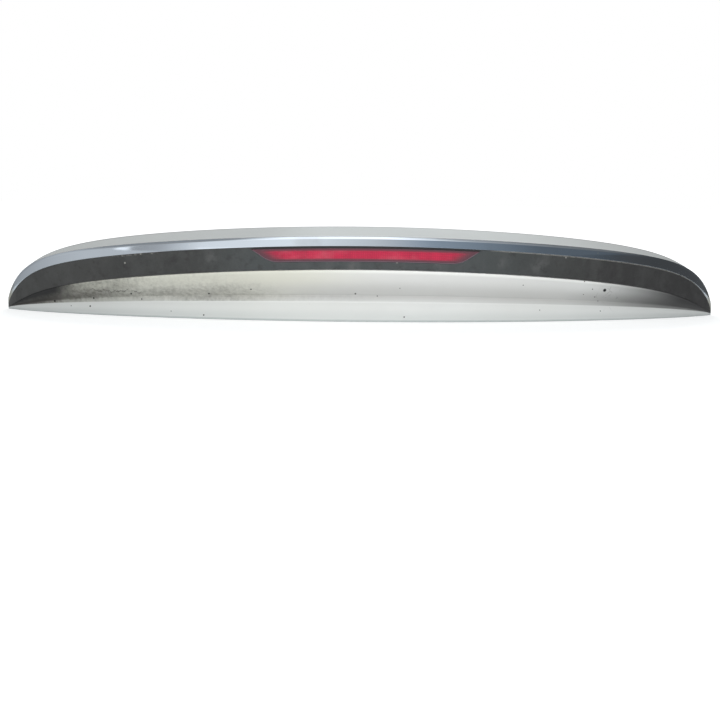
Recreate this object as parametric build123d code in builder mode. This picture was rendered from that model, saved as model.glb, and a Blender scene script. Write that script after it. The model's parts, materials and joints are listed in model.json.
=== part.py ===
from build123d import *
import math
import os
from types import SimpleNamespace

# Tailgate spoiler with a third brake light. Sizes in mm.
# X runs along the spoiler to the right as seen from behind, Y forward, Z up.
# The origin is midway between the two inner mounting studs, on their seats.

# plan of the crescent
half_span = 650.5
tip_solid = 9.0
tip_blunt = 2.0
bow = 185.0
bow_power = 0.8
tip_y = 60.0
front_reach = 14.0

# heights of the rows seen from behind, from the foot upwards
seat_height = 60.0
foot_high = 31.3
riser_high = 12.0
wall_high = 46.8
band_high = 40.2
edge_high = 16.2
top_rise = 9.5
top_crown = 2.0
seam_share = 0.62
floor_share = 0.75
floor_lift = 0.9
heel_share = 0.96

# how each row falls towards the tips: fall at the tip, sharpness and power of its last turn
foot_turn = (0.57, 7.8, 0.475)
riser_turn = (0.52, 7.0, 1.05)
wall_turn = (0.6, 15.6, 1.43)
band_turn = (0.0, 26.0, 0.85)
edge_turn = (-0.2, 30.0, 0.4)
rise_turn = (-0.35, 6.0, 0.9)
wall_taper = 12

# depth steps between the rows
lip_out = 4.0
band_lean = 7.0
recess = 45.0
foot_out = 27.0
wall_bulge = 5.0
crease_drop = 3.6
crease_out = 1.3

# walls and assembly gaps
skin = 3.0
foot_wall = 3.9
trim_wall = 3.0
tape_thick = 0.8
bond_gap = 0.05
trim_gap = 0.6
flange_tall = 12.4
low_flange_tall = 9.0
tape_margin = 2.0

# brake light
lens_drop = 3.2
lens_tall = 23.0
lens_half_top = 194.0
lens_half_low = 162.0
lens_flat_half = 140.0
lens_corner = 50.0
lens_thick = 3.0
lens_gap = 0.5
rim_wide = 3.5
rim_thick = 2.0
gasket_thick = 2.0
lamp_deep = 26.0
lamp_wall = 2.0
lamp_back = 2.4
lamp_room = 40.0
optic_step = 0.6
optic_thick = 2.0
optic_fit = 0.2
board_half = 150.0
board_tall = 13.0
board_thick = 1.6
led_count = 14
led_pitch = 21.0
led_size = 3.5
led_thick = 1.5
plug_x = 60.0
plug_wide = 24.0
plug_tall = 14.0
plug_deep = 13.0
plug_wall = 1.8
lug_in = 172.0
lug_out = 226.0
lug_tall = 26.0
lug_thick = 2.5
lug_stand = 4.0
lug_corner = 4.0
lamp_screw_x = 214.0
lamp_screw_pitch = 15.0
lamp_screw_r = 1.5
lamp_screw_head_r = 3.0
lamp_screw_head = 2.2
lamp_boss_r = 4.0

# fixings to the tailgate
stud_r = 3.0
stud_long = 22.0
stud_head_r = 9.0
stud_head = 4.0
inner_stud_x = 180.0
outer_stud_x = 430.0
outer_stud_y = 38.0
pad_r = 16.0
seal_in_r = 10.0
seal_out_r = 15.5
seal_thick = 3.0
pin_x = 310.0
pin_y = 22.0
pin_r = 4.0
pin_long = 14.0
pin_pad_r = 9.0

# screws that hold the two shells together
screw_row = (90.0, 250.0, 500.0)
screw_back = 16.0
screw_r = 2.0
screw_clear = 0.3
screw_bite = 14.0
screw_head_r = 4.5
screw_head = 2.6
floor_boss_r = 7.0
skin_boss_r = 5.0
boss_face = 0.5

# gussets under the floor, cable exit and the seal at the front edge
gusset_row = (40.0, 140.0, 240.0, 340.0, 440.0)
gusset_thick = 2.0
gusset_reach = 34.0
gusset_drop = 0.7
grommet_x = 75.0
grommet_y = -14.0
grommet_r = 13.0
grommet_bore = 5.0
grommet_flange = 3.0
grommet_web = 1.5
front_seal_tall = 6.0
front_seal_wide = 10.0
front_seal_back = 3.0
front_seal_half = 600.0


def row(high, turn, u):
    # height of one row at u of the half span: a parabolic crown times a rounding at the tip
    fall, sharp, power = turn
    return high * (1 - fall * u**2) * (1 - u**sharp) ** power


def section(x):
    # the levels and depths of the spoiler at one cut across it
    u = abs(x) / half_span
    full = 1 - u**2
    ease = 1 - u**3
    s = SimpleNamespace()
    s.thin = (1 - u**wall_taper) ** 0.5
    s.foot_z = -seat_height
    s.shelf_z = s.foot_z + row(foot_high, foot_turn, u)
    s.riser_z = s.shelf_z + row(riser_high, riser_turn, u)
    s.low_z = s.riser_z + row(wall_high, wall_turn, u)
    s.lip_z = s.low_z + row(band_high, band_turn, u)
    s.edge_z = s.lip_z + row(edge_high, edge_turn, u)
    s.front_z = s.edge_z + row(top_rise, rise_turn, u)
    s.seam_z = s.riser_z + seam_share * (s.front_z - s.riser_z)
    s.edge_y = tip_y - bow * full**bow_power
    s.lip_y = s.edge_y - lip_out * ease
    s.low_y = s.lip_y + band_lean * ease
    s.recess_y = s.edge_y + recess * full
    s.foot_y = s.recess_y - foot_out * full
    s.front_y = tip_y + front_reach
    s.skin = skin * s.thin
    s.foot = foot_wall * s.thin
    s.trim = trim_wall * s.thin
    s.land = (trim_wall + tape_thick) * s.thin
    s.gap = trim_gap * s.thin
    s.crown = top_crown * full
    s.bulge = wall_bulge * full
    return s


def between(a, b, share):
    return (a[0] + (b[0] - a[0]) * share, a[1] + (b[1] - a[1]) * share)


def band_at(s, down, depth):
    # a point at so many mm down the band's full face, and so many mm forward of it
    y, z = between((s.lip_y, s.lip_z), (s.low_y, s.low_z), down / band_high)
    return (y + depth, z)


def edge_at(s, down, depth):
    # the same on the flat behind the edge strip
    y, z = between((s.edge_y, s.edge_z), (s.lip_y, s.lip_z), down / edge_high)
    return (y + depth, z)


def bowed(a, b, out):
    # the middle of an arc from a to b that stands out to the right of the line
    dy, dz = b[0] - a[0], b[1] - a[1]
    long = math.hypot(dy, dz)
    middle = between(a, b, 0.5)
    return (middle[0] + out * dz / long, middle[1] - out * dy / long)


def floor_under(s):
    # the floor's underside, from the riser to the front
    back_z = s.shelf_z + floor_share * (s.riser_z - s.shelf_z)
    return (s.recess_y + s.foot, back_z), (s.front_y - s.skin - s.gap, s.seam_z)


def floor_upper(s):
    # the floor's upper side
    back_z = s.riser_z + floor_lift * s.thin
    return (s.recess_y + s.foot, back_z), (s.front_y - s.skin - s.gap, s.seam_z + s.skin)


def height_on(line, y):
    (back_y, back_z), (front_y, front_z) = line
    return back_z + (front_z - back_z) * (y - back_y) / (front_y - back_y)


def skin_height(s, y):
    # height of the top skin at y
    back_y = s.edge_y + s.land
    share = (y - back_y) / (s.front_y - back_y)
    return s.edge_z + (s.front_z - s.edge_z) * share + 4 * s.crown * share * (1 - share)


def outline(x, points):
    # a closed outline in the cut at x
    with BuildSketch(Plane.YZ.offset(x)) as cut:
        with BuildLine():
            Polyline(*points, close=True)
        make_face()
    return cut.sketch


def on_band(x, high, low, near, far):
    # a four-cornered outline along the band
    s = section(x)
    corners = [band_at(s, high, near), band_at(s, low, near), band_at(s, low, far), band_at(s, high, far)]
    return outline(x, corners)


def both_sides(values):
    return sorted({-v for v in values} | set(values))


end_x = half_span - tip_solid
turns = (0, 14, 27, 39, 50, 60, 68, 75)
cuts = both_sides([half_span * math.sin(math.radians(turn)) for turn in turns] + [end_x])
lamp_half = lug_out + 9.0
lamp_cuts = both_sides([0.0, lamp_half / 3, lamp_half * 2 / 3, lamp_half])
lens_low = lens_drop + lens_tall
lamp_mid = 0.5 * (lens_drop + lens_low)

# slanted ends of the brake light, seen from behind
slant = (lens_half_top - lens_half_low) / lens_tall
slant_z = band_at(section(lens_half_top), lens_drop, 0)[1]
slant_reach = 60.0


def slanted(grow):
    # the brake light's outline seen from behind, moved out by grow, with its lower corners rounded
    top_z = slant_z + slant_reach
    low_z = band_at(section(lens_flat_half), lens_low + grow, 0)[1]
    high = lens_half_top + grow + slant * slant_reach
    low = lens_half_top + grow + slant * (low_z - slant_z)
    with BuildSketch(Plane.XZ) as front:
        with BuildLine():
            Polyline((-high, top_z), (-low, low_z), (low, low_z), (high, top_z), close=True)
        make_face()
        fillet(front.vertices().sort_by(Axis.Y)[:2], radius=lens_corner + grow)
    return front.sketch


# where the fixings stand
stud_spots = [(x, 0.0) for x in (-inner_stud_x, inner_stud_x)]
stud_spots += [(x, outer_stud_y) for x in (-outer_stud_x, outer_stud_x)]
pin_spots = [(-pin_x, pin_y), (pin_x, pin_y)]
screw_spots = [(x, tip_y - screw_back) for x in both_sides(screw_row)]
lug_y, lug_z = band_at(section(lamp_screw_x), lamp_mid, trim_wall + lug_stand)
lamp_screw_spots = [
    (x, lug_z + side * 0.5 * lamp_screw_pitch) for x in (-lamp_screw_x, lamp_screw_x) for side in (-1, 1)
]


def boss_span(x, y):
    # the flat lower and upper ends of a screw boss through the sloping floor
    s = section(x)
    low = height_on(floor_under(s), y - floor_boss_r) - boss_face
    return low, height_on(floor_upper(s), y + floor_boss_r) + boss_face


# painted top shell with the rear flange that carries the trims
with BuildPart() as upper_shell:
    for x in cuts:
        s = section(x)
        back = (s.edge_y + s.land, s.edge_z)
        back_in = (s.edge_y + s.land + s.skin, s.edge_z - s.skin)
        front = (s.front_y, s.front_z)
        front_in = (s.front_y - s.skin, s.front_z - s.skin)
        with BuildSketch(Plane.YZ.offset(x)):
            with BuildLine():
                ThreePointArc(back, bowed(back, front, -s.crown), front)
                Polyline(front, (s.front_y, s.seam_z), (s.front_y - s.skin, s.seam_z), front_in)
                ThreePointArc(front_in, bowed(front_in, back_in, s.crown), back_in)
                Polyline(
                    back_in,
                    band_at(s, 0, s.land + s.skin),
                    band_at(s, flange_tall, s.land + s.skin),
                    band_at(s, flange_tall, s.land),
                    band_at(s, 0, s.land),
                    back,
                )
            make_face()
    loft()
    # room in the rear flange for the brake light
    land = trim_wall + tape_thick
    loft(
        [on_band(x, -rim_wide, lens_low + rim_wide, land - lens_gap, land + lamp_room) for x in lamp_cuts],
        mode=Mode.SUBTRACT,
    )
    # solid tips
    for side in (-1, 1):
        tip = []
        for x in (end_x, half_span - 0.5 * (tip_solid + tip_blunt), half_span - tip_blunt):
            s = section(x)
            corners = [
                (s.foot_y, s.foot_z),
                (s.recess_y, s.shelf_z),
                (s.recess_y, s.riser_z),
                (s.low_y, s.low_z),
                (s.lip_y, s.lip_z),
                (s.edge_y, s.edge_z),
                (s.front_y, s.front_z),
                (s.front_y, s.seam_z),
            ]
            tip.append(outline(side * x, corners))
        loft(tip)
    # screw bosses under the top skin
    for x, y in screw_spots:
        start = boss_span(x, y)[1]
        stop = skin_height(section(x), y) - 0.5 * skin
        with BuildSketch(Plane.XY.offset(start)):
            with Locations((x, y)):
                Circle(skin_boss_r)
        extrude(amount=stop - start)
        with BuildSketch(Plane.XY.offset(start)):
            with Locations((x, y)):
                Circle(screw_r)
        extrude(amount=screw_bite + boss_face, mode=Mode.SUBTRACT)

# painted lower shell: wall, riser, foot and the floor that carries the fixings
with BuildPart() as lower_shell:
    for x in cuts:
        s = section(x)
        riser_top = (s.recess_y, s.riser_z)
        wall_top = (s.low_y, s.low_z - 0.5 * s.gap)
        wall_top_in = (s.low_y + s.land + s.skin, s.low_z)
        upper, under = floor_upper(s), floor_under(s)
        flange_top = band_high - low_flange_tall
        with BuildSketch(Plane.YZ.offset(x)):
            with BuildLine():
                Polyline((s.foot_y, s.foot_z), (s.recess_y, s.shelf_z), riser_top)
                ThreePointArc(riser_top, bowed(riser_top, wall_top, -s.bulge), wall_top)
                Polyline(
                    wall_top,
                    (s.low_y + s.land, s.low_z - 0.5 * s.gap),
                    band_at(s, flange_top, s.land),
                    band_at(s, flange_top, s.land + s.skin),
                    wall_top_in,
                )
                ThreePointArc(wall_top_in, bowed(wall_top_in, upper[0], s.bulge), upper[0])
                Polyline(
                    upper[0],
                    upper[1],
                    under[1],
                    under[0],
                    (s.recess_y + s.foot, s.foot_z + heel_share * (s.shelf_z - s.foot_z)),
                    (s.foot_y + s.foot, s.foot_z),
                    (s.foot_y, s.foot_z),
                )
            make_face()
    loft()
    # gussets between the foot and the floor
    for x in both_sides(gusset_row):
        s = section(x)
        under = floor_under(s)
        heel = (s.recess_y + 0.5 * s.foot, under[0][1] + 0.5 * s.skin)
        toe_y = under[0][0] + gusset_reach
        toe = (toe_y, height_on(under, toe_y) + 0.5 * s.skin)
        knee = (s.recess_y + 0.5 * s.foot, s.shelf_z)
        foot_end = between(knee, (s.foot_y + 0.5 * s.foot, s.foot_z), gusset_drop)
        with BuildSketch(Plane.YZ.offset(x)):
            with BuildLine():
                Polyline(heel, toe, foot_end, knee, close=True)
            make_face()
        extrude(amount=0.5 * gusset_thick, both=True)
    # bosses for the shell screws
    for x, y in screw_spots:
        start, stop = boss_span(x, y)
        with BuildSketch(Plane.XY.offset(start)):
            with Locations((x, y)):
                Circle(floor_boss_r)
        extrude(amount=stop - start)
        with BuildSketch(Plane.XY.offset(start)):
            with Locations((x, y)):
                Circle(screw_r + screw_clear)
        extrude(amount=stop - start, mode=Mode.SUBTRACT)
    # stud pads, with their flat seats in the plane of the origin
    for x, y in stud_spots:
        with BuildSketch(Plane.XY):
            with Locations((x, y)):
                Circle(pad_r)
        extrude(amount=height_on(floor_upper(section(x)), y + pad_r))
        with BuildSketch(Plane.XY):
            with Locations((x, y)):
                Circle(stud_head_r)
        extrude(amount=stud_head, mode=Mode.SUBTRACT)
    # moulded locating pins on pads of their own
    for x, y in pin_spots:
        with BuildSketch(Plane.XY):
            with Locations((x, y)):
                Circle(pin_pad_r)
        extrude(amount=height_on(floor_upper(section(x)), y + pin_pad_r))
        with BuildSketch(Plane.XY):
            with Locations((x, y)):
                Circle(pin_r)
        extrude(amount=-pin_long)
    # collar and hole for the cable grommet
    collar = section(grommet_x)
    collar_r = grommet_r + grommet_flange
    grommet_z = height_on(floor_under(collar), grommet_y - collar_r)
    collar_tall = height_on(floor_upper(collar), grommet_y + collar_r) - grommet_z
    with BuildSketch(Plane.XY.offset(grommet_z)):
        with Locations((grommet_x, grommet_y)):
            Circle(collar_r)
    extrude(amount=collar_tall)
    with BuildSketch(Plane.XY.offset(grommet_z)):
        with Locations((grommet_x, grommet_y)):
            Circle(grommet_r)
    extrude(amount=collar_tall, mode=Mode.SUBTRACT)

# gloss strip along the trailing edge, creased near its top
with BuildPart() as edge_strip:
    strips = []
    for x in cuts:
        s = section(x)
        top = (s.edge_y, s.edge_z)
        low = (s.lip_y, s.lip_z + 0.5 * s.gap)
        crease = edge_at(s, crease_drop, -crease_out * s.thin)
        strips.append(outline(x, [top, crease, low, (low[0] + s.trim, low[1]), (top[0] + s.trim, top[1])]))
    loft(strips)

# space that the lens takes in the band
with BuildPart() as lamp_opening:
    loft([on_band(x, lens_drop - lens_gap, lens_low + lens_gap, -lamp_deep, lamp_deep) for x in lamp_cuts])
    extrude(slanted(lens_gap), amount=2 * bow, both=True, mode=Mode.INTERSECT)

# matte rear band with the brake light's opening and screw bosses
with BuildPart() as rear_band:
    bands = []
    for x in cuts:
        s = section(x)
        high = (s.lip_y, s.lip_z - 0.5 * s.gap)
        low = (s.low_y, s.low_z + 0.5 * s.gap)
        bands.append(outline(x, [high, low, (low[0] + s.trim, low[1]), (high[0] + s.trim, high[1])]))
    loft(bands)
    add(lamp_opening.part, mode=Mode.SUBTRACT)
    for spot in lamp_screw_spots:
        with BuildSketch(Plane.XZ.offset(-lug_y)):
            with Locations(spot):
                Circle(lamp_boss_r)
        extrude(amount=lug_stand + 0.5 * trim_wall)
        with BuildSketch(Plane.XZ.offset(-lug_y)):
            with Locations(spot):
                Circle(lamp_screw_r)
        extrude(amount=lug_stand + bond_gap, mode=Mode.SUBTRACT)

# bonding tapes between the trims and the shells' flanges
with BuildPart() as edge_tape:
    strips = []
    for x in cuts:
        s = section(x)
        near, far = s.trim + bond_gap, s.land - bond_gap
        high, low = tape_margin, edge_high - tape_margin
        strips.append(
            outline(x, [edge_at(s, high, near), edge_at(s, low, near), edge_at(s, low, far), edge_at(s, high, far)])
        )
    loft(strips)

with BuildPart() as band_tape_lower:
    strips = []
    for x in cuts:
        s = section(x)
        high, low = band_high - low_flange_tall + tape_margin, band_high - tape_margin
        strips.append(on_band(x, high, low, s.trim + bond_gap, s.land - bond_gap))
    loft(strips)

with BuildPart() as band_tape_upper:
    strips = []
    for x in cuts:
        s = section(x)
        strips.append(
            on_band(x, tape_margin, flange_tall - tape_margin, s.trim + bond_gap, s.land - bond_gap)
        )
    loft(strips)

with BuildPart() as band_tape_right:
    add(band_tape_upper.part)
    with BuildSketch(Plane.YZ.offset(lamp_half + tape_margin)):
        Rectangle(4 * bow, 4 * bow)
    extrude(amount=half_span, mode=Mode.INTERSECT)

with BuildPart() as band_tape_left:
    add(band_tape_upper.part)
    with BuildSketch(Plane.YZ.offset(-lamp_half - tape_margin)):
        Rectangle(4 * bow, 4 * bow)
    extrude(amount=-half_span, mode=Mode.INTERSECT)

# lens flush with the band
with BuildPart() as lamp_lens:
    loft([on_band(x, lens_drop, lens_low, 0, lens_thick) for x in lamp_cuts])
    extrude(slanted(0), amount=2 * bow, both=True, mode=Mode.INTERSECT)

# soft gasket between the housing's rim and the band
gasket_near = trim_wall + 2 * bond_gap
rim_near = gasket_near + gasket_thick
with BuildPart() as lamp_gasket:
    loft([on_band(x, 0, lens_low + rim_wide, gasket_near, rim_near - bond_gap) for x in lamp_cuts])
    extrude(slanted(rim_wide), amount=2 * bow, both=True, mode=Mode.INTERSECT)
    add(lamp_opening.part, mode=Mode.SUBTRACT)

# hollow of the brake light
with BuildPart() as lamp_hollow:
    loft(
        [on_band(x, lens_drop + lamp_wall, lens_low - lamp_wall, 0, lamp_deep - lamp_back) for x in lamp_cuts]
    )
    extrude(slanted(-lamp_wall), amount=2 * bow, both=True, mode=Mode.INTERSECT)

# rim round the housing
with BuildPart() as lamp_rim:
    loft([on_band(x, 0, lens_low + rim_wide, rim_near, rim_near + rim_thick) for x in lamp_cuts])
    extrude(slanted(rim_wide), amount=2 * bow, both=True, mode=Mode.INTERSECT)

# housing with its screw lugs and connector socket
plug_y, plug_z = band_at(section(plug_x), lamp_mid, lamp_deep + plug_deep)
with BuildPart() as lamp_housing:
    loft([on_band(x, lens_drop, lens_low, lens_thick + bond_gap, lamp_deep) for x in lamp_cuts])
    extrude(slanted(0), amount=2 * bow, both=True, mode=Mode.INTERSECT)
    add(lamp_rim.part)
    for side in (-1, 1):
        with BuildSketch(Plane.XZ.offset(-lug_y)):
            with Locations((side * 0.5 * (lug_in + lug_out), lug_z)):
                RectangleRounded(lug_out - lug_in, lug_tall, lug_corner)
        extrude(amount=-lug_thick)
    with BuildSketch(Plane.XZ.offset(-plug_y)):
        with Locations((plug_x, plug_z)):
            RectangleRounded(plug_wide, plug_tall, plug_wall)
    extrude(amount=plug_deep + 0.5 * lamp_back)
    add(lamp_hollow.part, mode=Mode.SUBTRACT)
    with BuildSketch(Plane.XZ.offset(-plug_y)):
        with Locations((plug_x, plug_z)):
            Rectangle(plug_wide - 2 * plug_wall, plug_tall - 2 * plug_wall)
    extrude(amount=plug_deep - plug_wall, mode=Mode.SUBTRACT)
    for spot in lamp_screw_spots:
        with BuildSketch(Plane.XZ.offset(-lug_y)):
            with Locations(spot):
                Circle(lamp_screw_r + screw_clear)
        extrude(amount=-lug_thick, mode=Mode.SUBTRACT)

# prism plate close behind the lens
optic_near = lens_thick + optic_step
optic_edge = lamp_wall + optic_fit
with BuildPart() as lamp_optic:
    loft(
        [
            on_band(x, lens_drop + optic_edge, lens_low - optic_edge, optic_near, optic_near + optic_thick)
            for x in lamp_cuts
        ]
    )
    extrude(slanted(-optic_edge), amount=2 * bow, both=True, mode=Mode.INTERSECT)

# lamp board against the back of the housing
board_far = lamp_deep - lamp_back - bond_gap
board_near = board_far - board_thick
with BuildPart() as lamp_board:
    loft(
        [
            on_band(x, lamp_mid - 0.5 * board_tall, lamp_mid + 0.5 * board_tall, board_near, board_far)
            for x in lamp_cuts
        ]
    )
    with BuildSketch(Plane.YZ):
        Rectangle(4 * bow, 4 * bow)
    extrude(amount=board_half, both=True, mode=Mode.INTERSECT)

# lights along the board, each turned to lie flat on it
with BuildPart() as lamp_leds:
    lean = math.degrees(math.atan2(band_lean, band_high))
    for n in range(led_count):
        x = (n - 0.5 * (led_count - 1)) * led_pitch
        y, z = band_at(section(x), lamp_mid, board_near - 0.5 * led_thick - 3 * bond_gap)
        turn = math.degrees(math.atan(band_at(section(x + 1), 0, 0)[0] - band_at(section(x), 0, 0)[0]))
        with Locations(Location((x, y, z), (lean, 0, turn))):
            Box(led_size, led_thick, led_size)

# small screws of the brake light
with BuildPart() as lamp_screws:
    for spot in lamp_screw_spots:
        with BuildSketch(Plane.XZ.offset(-(lug_y + lug_thick))):
            with Locations(spot):
                Circle(lamp_screw_head_r)
        extrude(amount=-lamp_screw_head)
        with BuildSketch(Plane.XZ.offset(-(lug_y + lug_thick))):
            with Locations(spot):
                Circle(lamp_screw_r)
        extrude(amount=lug_thick + lug_stand)

# screws up through the floor into the top shell
with BuildPart() as shell_screws:
    for x, y in screw_spots:
        start, stop = boss_span(x, y)
        with BuildSketch(Plane.XY.offset(start)):
            with Locations((x, y)):
                Circle(screw_head_r)
        extrude(amount=-screw_head)
        with BuildSketch(Plane.XY.offset(start)):
            with Locations((x, y)):
                Circle(screw_r)
        extrude(amount=stop - start + screw_bite)

# studs that pass through the tailgate skin
with BuildPart() as mounting_studs:
    for spot in stud_spots:
        with BuildSketch(Plane.XY):
            with Locations(spot):
                Circle(stud_head_r)
        extrude(amount=stud_head)
        with BuildSketch(Plane.XY):
            with Locations(spot):
                Circle(stud_r)
        extrude(amount=-stud_long)

# foam rings round the studs
with BuildPart() as stud_seals:
    for spot in stud_spots:
        with BuildSketch(Plane.XY):
            with Locations(spot):
                Circle(seal_out_r)
                Circle(seal_in_r, mode=Mode.SUBTRACT)
        extrude(amount=-seal_thick)

# rubber grommet where the lamp lead leaves the shell, closed by a thin web
with BuildPart() as cable_grommet:
    with BuildSketch(Plane.XY.offset(grommet_z)):
        with Locations((grommet_x, grommet_y)):
            Circle(collar_r)
    extrude(amount=-grommet_flange)
    with BuildSketch(Plane.XY.offset(grommet_z)):
        with Locations((grommet_x, grommet_y)):
            Circle(grommet_r)
    extrude(amount=grommet_flange)
    with BuildSketch(Plane.XY.offset(grommet_z - grommet_flange)):
        with Locations((grommet_x, grommet_y)):
            Circle(grommet_bore)
    extrude(amount=2 * grommet_flange - grommet_web, mode=Mode.SUBTRACT)

# foam seal under the front edge
with BuildPart() as front_seal:
    strips = []
    for x in cuts:
        s = section(x)
        under = floor_under(s)
        near_y = under[1][0] - front_seal_back * s.thin
        far_y = near_y - front_seal_wide * s.thin
        near_z, far_z = height_on(under, near_y), height_on(under, far_y)
        corners = [
            (near_y, near_z - bond_gap),
            (far_y, far_z - bond_gap),
            (far_y, far_z - front_seal_tall),
            (near_y, near_z - front_seal_tall),
        ]
        strips.append(outline(x, corners))
    loft(strips)
    with BuildSketch(Plane.YZ):
        Rectangle(4 * bow, 4 * bow)
    extrude(amount=front_seal_half, both=True, mode=Mode.INTERSECT)

os.makedirs("parts", exist_ok=True)
upper_shell.part.label = "upper_shell"
export_step(upper_shell.part, "parts/upper_shell.step")
lower_shell.part.label = "lower_shell"
export_step(lower_shell.part, "parts/lower_shell.step")
edge_strip.part.label = "edge_strip"
export_step(edge_strip.part, "parts/edge_strip.step")
rear_band.part.label = "rear_band"
export_step(rear_band.part, "parts/rear_band.step")
edge_tape.part.label = "edge_tape"
export_step(edge_tape.part, "parts/edge_tape.step")
band_tape_lower.part.label = "band_tape_lower"
export_step(band_tape_lower.part, "parts/band_tape_lower.step")
band_tape_right.part.label = "band_tape_right"
export_step(band_tape_right.part, "parts/band_tape_right.step")
band_tape_left.part.label = "band_tape_left"
export_step(band_tape_left.part, "parts/band_tape_left.step")
lamp_lens.part.label = "lamp_lens"
export_step(lamp_lens.part, "parts/lamp_lens.step")
lamp_optic.part.label = "lamp_optic"
export_step(lamp_optic.part, "parts/lamp_optic.step")
lamp_leds.part.label = "lamp_leds"
export_step(lamp_leds.part, "parts/lamp_leds.step")
lamp_board.part.label = "lamp_board"
export_step(lamp_board.part, "parts/lamp_board.step")
lamp_housing.part.label = "lamp_housing"
export_step(lamp_housing.part, "parts/lamp_housing.step")
lamp_gasket.part.label = "lamp_gasket"
export_step(lamp_gasket.part, "parts/lamp_gasket.step")
lamp_screws.part.label = "lamp_screws"
export_step(lamp_screws.part, "parts/lamp_screws.step")
shell_screws.part.label = "shell_screws"
export_step(shell_screws.part, "parts/shell_screws.step")
mounting_studs.part.label = "mounting_studs"
export_step(mounting_studs.part, "parts/mounting_studs.step")
stud_seals.part.label = "stud_seals"
export_step(stud_seals.part, "parts/stud_seals.step")
cable_grommet.part.label = "cable_grommet"
export_step(cable_grommet.part, "parts/cable_grommet.step")
front_seal.part.label = "front_seal"
export_step(front_seal.part, "parts/front_seal.step")
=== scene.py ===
import json
import math
from types import SimpleNamespace

import bmesh
import bpy
import numpy as np
from mathutils import Matrix, Vector


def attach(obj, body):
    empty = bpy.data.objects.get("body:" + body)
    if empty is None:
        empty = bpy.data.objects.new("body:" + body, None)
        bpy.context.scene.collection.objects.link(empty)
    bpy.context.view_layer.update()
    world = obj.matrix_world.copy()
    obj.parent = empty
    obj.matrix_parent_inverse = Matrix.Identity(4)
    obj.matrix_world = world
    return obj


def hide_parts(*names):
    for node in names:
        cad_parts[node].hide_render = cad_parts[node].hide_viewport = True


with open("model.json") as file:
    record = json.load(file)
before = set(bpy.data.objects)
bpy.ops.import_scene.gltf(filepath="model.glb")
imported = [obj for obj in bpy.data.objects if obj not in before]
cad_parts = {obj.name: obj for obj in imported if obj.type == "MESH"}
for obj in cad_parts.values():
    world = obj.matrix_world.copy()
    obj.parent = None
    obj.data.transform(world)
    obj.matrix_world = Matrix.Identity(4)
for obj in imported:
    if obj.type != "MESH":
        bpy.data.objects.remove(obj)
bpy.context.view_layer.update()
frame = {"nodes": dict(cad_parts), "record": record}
cadNodes = frame["nodes"]
print("frame loaded with", len(cadNodes), "nodes")

mm = 0.001
tiny = 1e-6  # keeps a length above zero
mergeWithin = 0.002  # millimetres between points that become one
sharpAngle = 35  # degrees past which the shading breaks

# plan, depths and walls of the crescent in millimetres, the same as the frame's
crescent = dict(
    halfSpan=650.5, tipBlunt=2.0, tipNose=1.2, bow=185.0, bowPower=0.8, tipY=60.0, frontReach=14.0,
    seatHeight=60.0, lipOut=4.0, bandLean=7.0, recess=45.0, footOut=27.0, wallBulge=5.0, topCrown=2.0,
    seamShare=0.62, floorShare=0.75, floorLift=0.9, heelShare=0.96, wallTaper=12,
    skin=3.0, footWall=3.9, trimWall=3.0, tapeThick=0.8, trimGap=0.6,
)

# rows from the foot upwards: height in the middle, fall at the tip, sharpness and power of the last turn
rowTurns = dict(
    foot=(31.3, 0.57, 7.8, 0.475),
    riser=(12.0, 0.52, 7.0, 1.05),
    wall=(46.8, 0.6, 15.6, 1.43),
    band=(40.2, 0.0, 26.0, 0.85),
    edge=(16.2, -0.2, 30.0, 0.4),
    rise=(9.5, -0.35, 6.0, 0.9),
)
xEnd = crescent["halfSpan"] - crescent["tipBlunt"]


def rowHigh(name, u):
    # crown times tip rounding: high * (1 - fall * u^2) * (1 - u^sharp)^power
    high, fall, sharp, power = rowTurns[name]
    return high * (1 - fall * u**2) * (1 - u**sharp) ** power


def levels(x):
    # rows stacked upwards from the foot, depths from the bow of the plan, and both drawn in
    # to the middle of the cut over the last few millimetres by the root of 1 - t^2
    c = SimpleNamespace(**crescent)
    u = np.abs(x) / c.halfSpan
    full = 1 - u**2
    ease = 1 - u**3
    s = SimpleNamespace()
    s.footZ = -c.seatHeight + 0 * u
    s.shelfZ = s.footZ + rowHigh("foot", u)
    s.riserZ = s.shelfZ + rowHigh("riser", u)
    s.lowZ = s.riserZ + rowHigh("wall", u)
    s.lipZ = s.lowZ + rowHigh("band", u)
    s.edgeZ = s.lipZ + rowHigh("edge", u)
    s.frontZ = s.edgeZ + rowHigh("rise", u)
    s.seamZ = s.riserZ + c.seamShare * (s.frontZ - s.riserZ)
    s.edgeY = c.tipY - c.bow * full**c.bowPower
    s.lipY = s.edgeY - c.lipOut * ease
    s.lowY = s.lipY + c.bandLean * ease
    s.recessY = s.edgeY + c.recess * full
    s.footY = s.recessY - c.footOut * full
    s.frontY = c.tipY + c.frontReach + 0 * u
    nose = np.clip((np.abs(x) - xEnd + c.tipNose) / c.tipNose, 0, 1)
    pull = np.sqrt(1 - nose**2)
    middle = dict(Y=0.5 * (s.lipY + s.frontY), Z=0.5 * (s.footZ + s.frontZ))
    for name, value in list(vars(s).items()):
        centre = middle[name[-1]]
        setattr(s, name, centre + (value - centre) * pull)
    s.thin = (1 - u**c.wallTaper) ** 0.5 * pull
    s.skin = c.skin * s.thin
    s.foot = c.footWall * s.thin
    s.trim = c.trimWall * s.thin
    s.land = (c.trimWall + c.tapeThick) * s.thin
    s.gap = c.trimGap * s.thin
    s.crown = c.topCrown * full
    s.bulge = c.wallBulge * full
    return s


def spread(count, start=-xEnd, stop=xEnd):
    # cuts along x from the sine of an even angle, so that they crowd together at a tip
    low, high = math.asin(start / xEnd), math.asin(stop / xEnd)
    return xEnd * np.sin(np.linspace(low, high, count))


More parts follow.
